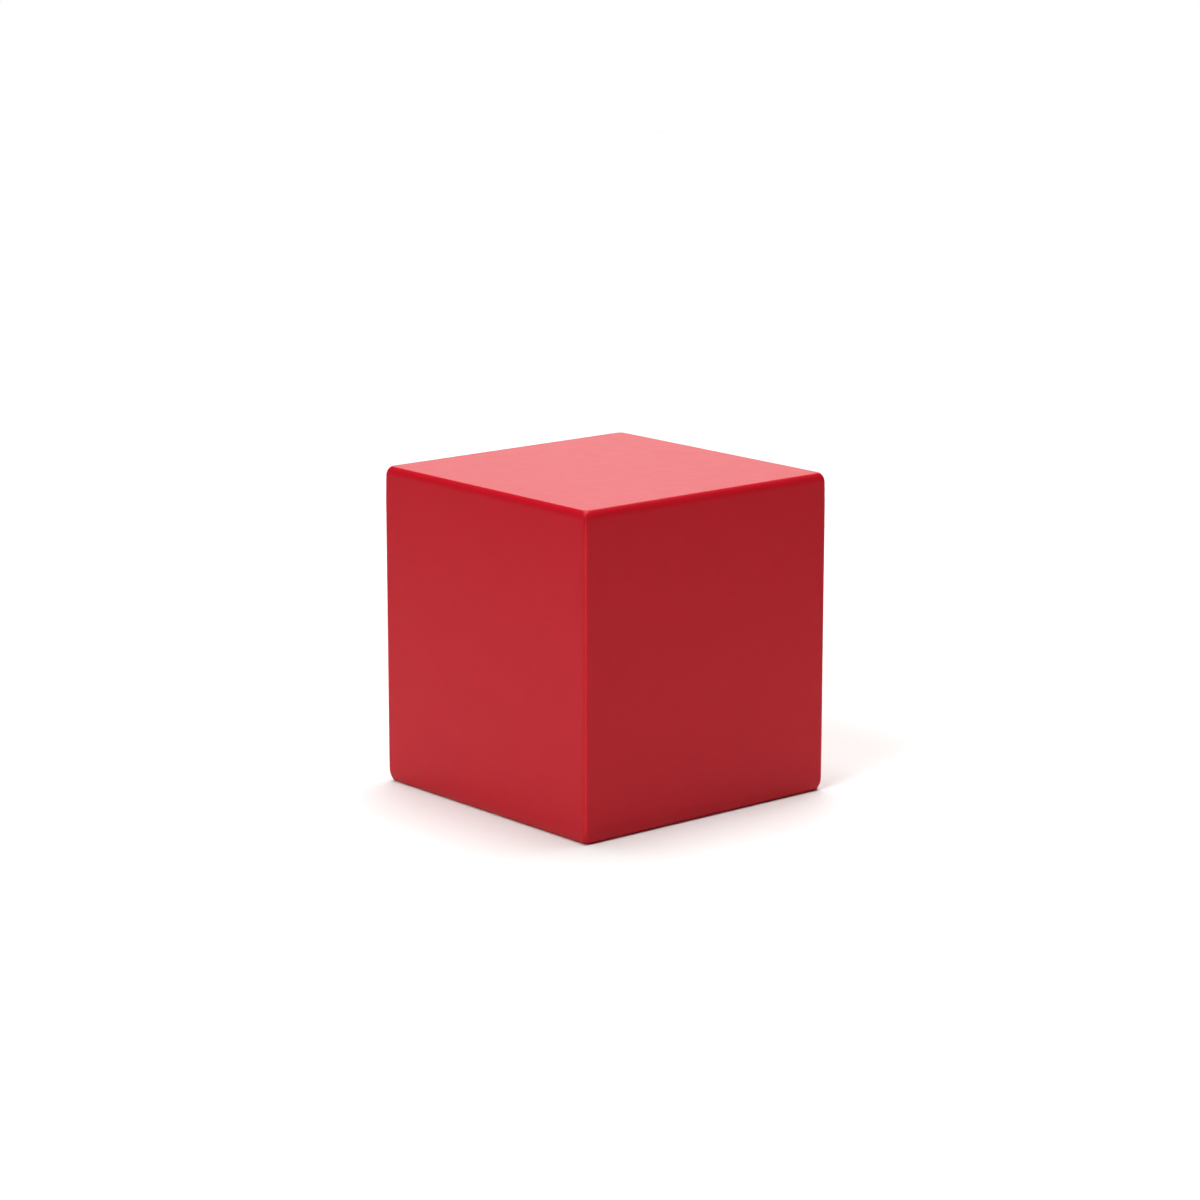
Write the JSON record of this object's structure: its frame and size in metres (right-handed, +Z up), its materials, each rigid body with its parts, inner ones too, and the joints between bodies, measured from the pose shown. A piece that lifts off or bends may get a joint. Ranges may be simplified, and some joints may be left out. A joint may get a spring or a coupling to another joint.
{
  "type": "cue chalk cube",
  "caption": "Upright square block of pressed cue chalk with softly rounded edges, labelled smooth over its closed end and sides, and a shallow round cue tip recess in its bare working face.",
  "frame": {"origin": "centre of the working face's plane, which the cube stands on, at the bottom centre of its box", "axes": "+Z up, out of the labelled closed end, along the cube's square symmetry axis and its slightly longer side; +X and +Y square to two of its flat sides"},
  "size_m": [0.0222, 0.0222, 0.0231],
  "materials": {
    "coated_paper": "plain red coated label paper with a smooth satin surface",
    "dry_paste": "dry label paste, off-white and dull",
    "pressed_chalk": "pressed cue chalk, red, dead matt and fine-grained"
  },
  "bodies": {
    "root": {"chalk_block": "pressed_chalk", "label_paste": "dry_paste", "paper_label": "coated_paper"}
  },
  "joints": []
}
